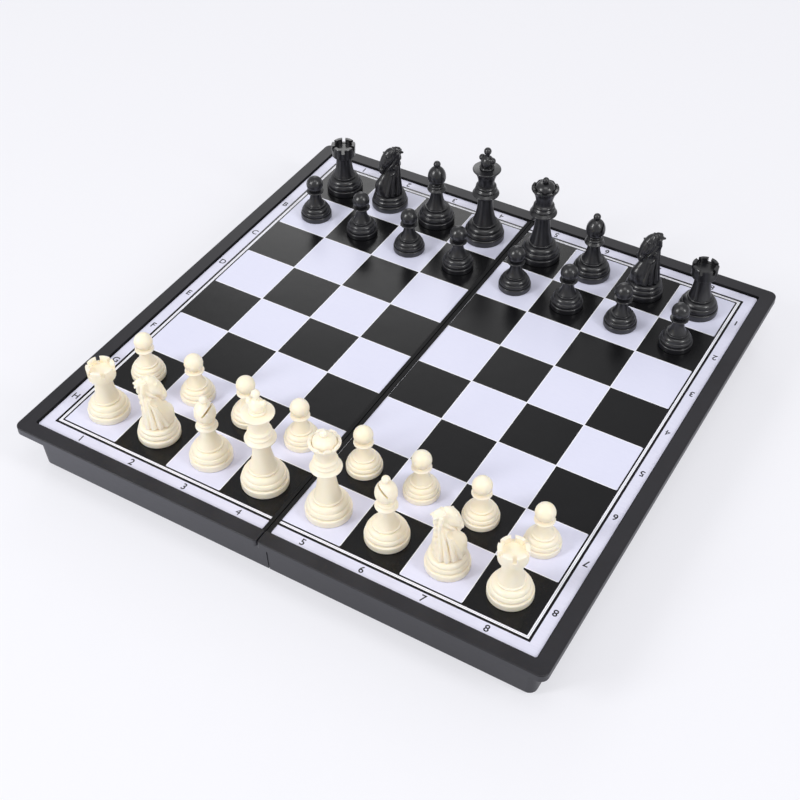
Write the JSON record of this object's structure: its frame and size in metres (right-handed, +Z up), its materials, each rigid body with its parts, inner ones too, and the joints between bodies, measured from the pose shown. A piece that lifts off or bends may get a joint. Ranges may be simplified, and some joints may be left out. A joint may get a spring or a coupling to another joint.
{
  "type": "folding chess set",
  "caption": "Folding travel chess board in two hinged plastic trays with a printed steel-backed surface and magnetic chessmen set up for play.",
  "frame": {"origin": "centre of the open board on the surface it stands on", "axes": "+Z up; +X along the front edge to the right; +Y from white's side to black's side; the fold line is the Y axis"},
  "size_m": [0.25, 0.2464, 0.0756],
  "materials": {
    "tray_plastic": "fine textured black",
    "sheet_steel": "thin rolled sheet",
    "printed_sheet": "printed sheet, satin gloss",
    "pin_steel": "drawn wire",
    "white_men_plastic": "satin ivory",
    "black_men_plastic": "satin black"
  },
  "bodies": {
    "right_half": {"right_tray": "tray_plastic", "right_steel_plate": "sheet_steel", "right_board_sheet": "printed_sheet", "hinge_pin_front": "pin_steel", "hinge_pin_back": "pin_steel"},
    "left_half": {"left_tray": "tray_plastic", "left_steel_plate": "sheet_steel", "left_board_sheet": "printed_sheet"},
    "white_rook_1": {"white_rook_1": "white_men_plastic"},
    "white_pawn_1": {"white_pawn_1": "white_men_plastic"},
    "white_knight_2": {"white_knight_2": "white_men_plastic"},
    "white_pawn_2": {"white_pawn_2": "white_men_plastic"},
    "white_bishop_3": {"white_bishop_3": "white_men_plastic"},
    "white_pawn_3": {"white_pawn_3": "white_men_plastic"},
    "white_king_4": {"white_king_4": "white_men_plastic"},
    "white_pawn_4": {"white_pawn_4": "white_men_plastic"},
    "white_queen_5": {"white_queen_5": "white_men_plastic"},
    "white_pawn_5": {"white_pawn_5": "white_men_plastic"},
    "white_bishop_6": {"white_bishop_6": "white_men_plastic"},
    "white_pawn_6": {"white_pawn_6": "white_men_plastic"},
    "white_knight_7": {"white_knight_7": "white_men_plastic"},
    "white_pawn_7": {"white_pawn_7": "white_men_plastic"},
    "white_rook_8": {"white_rook_8": "white_men_plastic"},
    "white_pawn_8": {"white_pawn_8": "white_men_plastic"},
    "black_rook_1": {"black_rook_1": "black_men_plastic"},
    "black_pawn_1": {"black_pawn_1": "black_men_plastic"},
    "black_knight_2": {"black_knight_2": "black_men_plastic"},
    "black_pawn_2": {"black_pawn_2": "black_men_plastic"},
    "black_bishop_3": {"black_bishop_3": "black_men_plastic"},
    "black_pawn_3": {"black_pawn_3": "black_men_plastic"},
    "black_king_4": {"black_king_4": "black_men_plastic"},
    "black_pawn_4": {"black_pawn_4": "black_men_plastic"},
    "black_queen_5": {"black_queen_5": "black_men_plastic"},
    "black_pawn_5": {"black_pawn_5": "black_men_plastic"},
    "black_bishop_6": {"black_bishop_6": "black_men_plastic"},
    "black_pawn_6": {"black_pawn_6": "black_men_plastic"},
    "black_knight_7": {"black_knight_7": "black_men_plastic"},
    "black_pawn_7": {"black_pawn_7": "black_men_plastic"},
    "black_rook_8": {"black_rook_8": "black_men_plastic"},
    "black_pawn_8": {"black_pawn_8": "black_men_plastic"}
  },
  "joints": [
    {"name": "fold", "type": "hinge", "parent": "right_half", "child": "left_half", "pos_m": [0, 0, 0.0018], "axis": [0, -1, 0], "range_deg": [0, 180]},
    {"name": "lift_white_rook_1", "type": "slide", "parent": "left_half", "child": "white_rook_1", "axis": [0, 0, 1], "range_m": [0, 0.06]},
    {"name": "lift_white_pawn_1", "type": "slide", "parent": "left_half", "child": "white_pawn_1", "axis": [0, 0, 1], "range_m": [0, 0.06]},
    {"name": "lift_white_knight_2", "type": "slide", "parent": "left_half", "child": "white_knight_2", "axis": [0, 0, 1], "range_m": [0, 0.06]},
    {"name": "lift_white_pawn_2", "type": "slide", "parent": "left_half", "child": "white_pawn_2", "axis": [0, 0, 1], "range_m": [0, 0.06]},
    {"name": "lift_white_bishop_3", "type": "slide", "parent": "left_half", "child": "white_bishop_3", "axis": [0, 0, 1], "range_m": [0, 0.06]},
    {"name": "lift_white_pawn_3", "type": "slide", "parent": "left_half", "child": "white_pawn_3", "axis": [0, 0, 1], "range_m": [0, 0.06]},
    {"name": "lift_white_king_4", "type": "slide", "parent": "left_half", "child": "white_king_4", "axis": [0, 0, 1], "range_m": [0, 0.06]},
    {"name": "lift_white_pawn_4", "type": "slide", "parent": "left_half", "child": "white_pawn_4", "axis": [0, 0, 1], "range_m": [0, 0.06]},
    {"name": "lift_white_queen_5", "type": "slide", "parent": "right_half", "child": "white_queen_5", "axis": [0, 0, 1], "range_m": [0, 0.06]},
    {"name": "lift_white_pawn_5", "type": "slide", "parent": "right_half", "child": "white_pawn_5", "axis": [0, 0, 1], "range_m": [0, 0.06]},
    {"name": "lift_white_bishop_6", "type": "slide", "parent": "right_half", "child": "white_bishop_6", "axis": [0, 0, 1], "range_m": [0, 0.06]},
    {"name": "lift_white_pawn_6", "type": "slide", "parent": "right_half", "child": "white_pawn_6", "axis": [0, 0, 1], "range_m": [0, 0.06]},
    {"name": "lift_white_knight_7", "type": "slide", "parent": "right_half", "child": "white_knight_7", "axis": [0, 0, 1], "range_m": [0, 0.06]},
    {"name": "lift_white_pawn_7", "type": "slide", "parent": "right_half", "child": "white_pawn_7", "axis": [0, 0, 1], "range_m": [0, 0.06]},
    {"name": "lift_white_rook_8", "type": "slide", "parent": "right_half", "child": "white_rook_8", "axis": [0, 0, 1], "range_m": [0, 0.06]},
    {"name": "lift_white_pawn_8", "type": "slide", "parent": "right_half", "child": "white_pawn_8", "axis": [0, 0, 1], "range_m": [0, 0.06]},
    {"name": "lift_black_rook_1", "type": "slide", "parent": "left_half", "child": "black_rook_1", "axis": [0, 0, 1], "range_m": [0, 0.06]},
    {"name": "lift_black_pawn_1", "type": "slide", "parent": "left_half", "child": "black_pawn_1", "axis": [0, 0, 1], "range_m": [0, 0.06]},
    {"name": "lift_black_knight_2", "type": "slide", "parent": "left_half", "child": "black_knight_2", "axis": [0, 0, 1], "range_m": [0, 0.06]},
    {"name": "lift_black_pawn_2", "type": "slide", "parent": "left_half", "child": "black_pawn_2", "axis": [0, 0, 1], "range_m": [0, 0.06]},
    {"name": "lift_black_bishop_3", "type": "slide", "parent": "left_half", "child": "black_bishop_3", "axis": [0, 0, 1], "range_m": [0, 0.06]},
    {"name": "lift_black_pawn_3", "type": "slide", "parent": "left_half", "child": "black_pawn_3", "axis": [0, 0, 1], "range_m": [0, 0.06]},
    {"name": "lift_black_king_4", "type": "slide", "parent": "left_half", "child": "black_king_4", "axis": [0, 0, 1], "range_m": [0, 0.06]},
    {"name": "lift_black_pawn_4", "type": "slide", "parent": "left_half", "child": "black_pawn_4", "axis": [0, 0, 1], "range_m": [0, 0.06]},
    {"name": "lift_black_queen_5", "type": "slide", "parent": "right_half", "child": "black_queen_5", "axis": [0, 0, 1], "range_m": [0, 0.06]},
    {"name": "lift_black_pawn_5", "type": "slide", "parent": "right_half", "child": "black_pawn_5", "axis": [0, 0, 1], "range_m": [0, 0.06]},
    {"name": "lift_black_bishop_6", "type": "slide", "parent": "right_half", "child": "black_bishop_6", "axis": [0, 0, 1], "range_m": [0, 0.06]},
    {"name": "lift_black_pawn_6", "type": "slide", "parent": "right_half", "child": "black_pawn_6", "axis": [0, 0, 1], "range_m": [0, 0.06]},
    {"name": "lift_black_knight_7", "type": "slide", "parent": "right_half", "child": "black_knight_7", "axis": [0, 0, 1], "range_m": [0, 0.06]},
    {"name": "lift_black_pawn_7", "type": "slide", "parent": "right_half", "child": "black_pawn_7", "axis": [0, 0, 1], "range_m": [0, 0.06]},
    {"name": "lift_black_rook_8", "type": "slide", "parent": "right_half", "child": "black_rook_8", "axis": [0, 0, 1], "range_m": [0, 0.06]},
    {"name": "lift_black_pawn_8", "type": "slide", "parent": "right_half", "child": "black_pawn_8", "axis": [0, 0, 1], "range_m": [0, 0.06]}
  ]
}
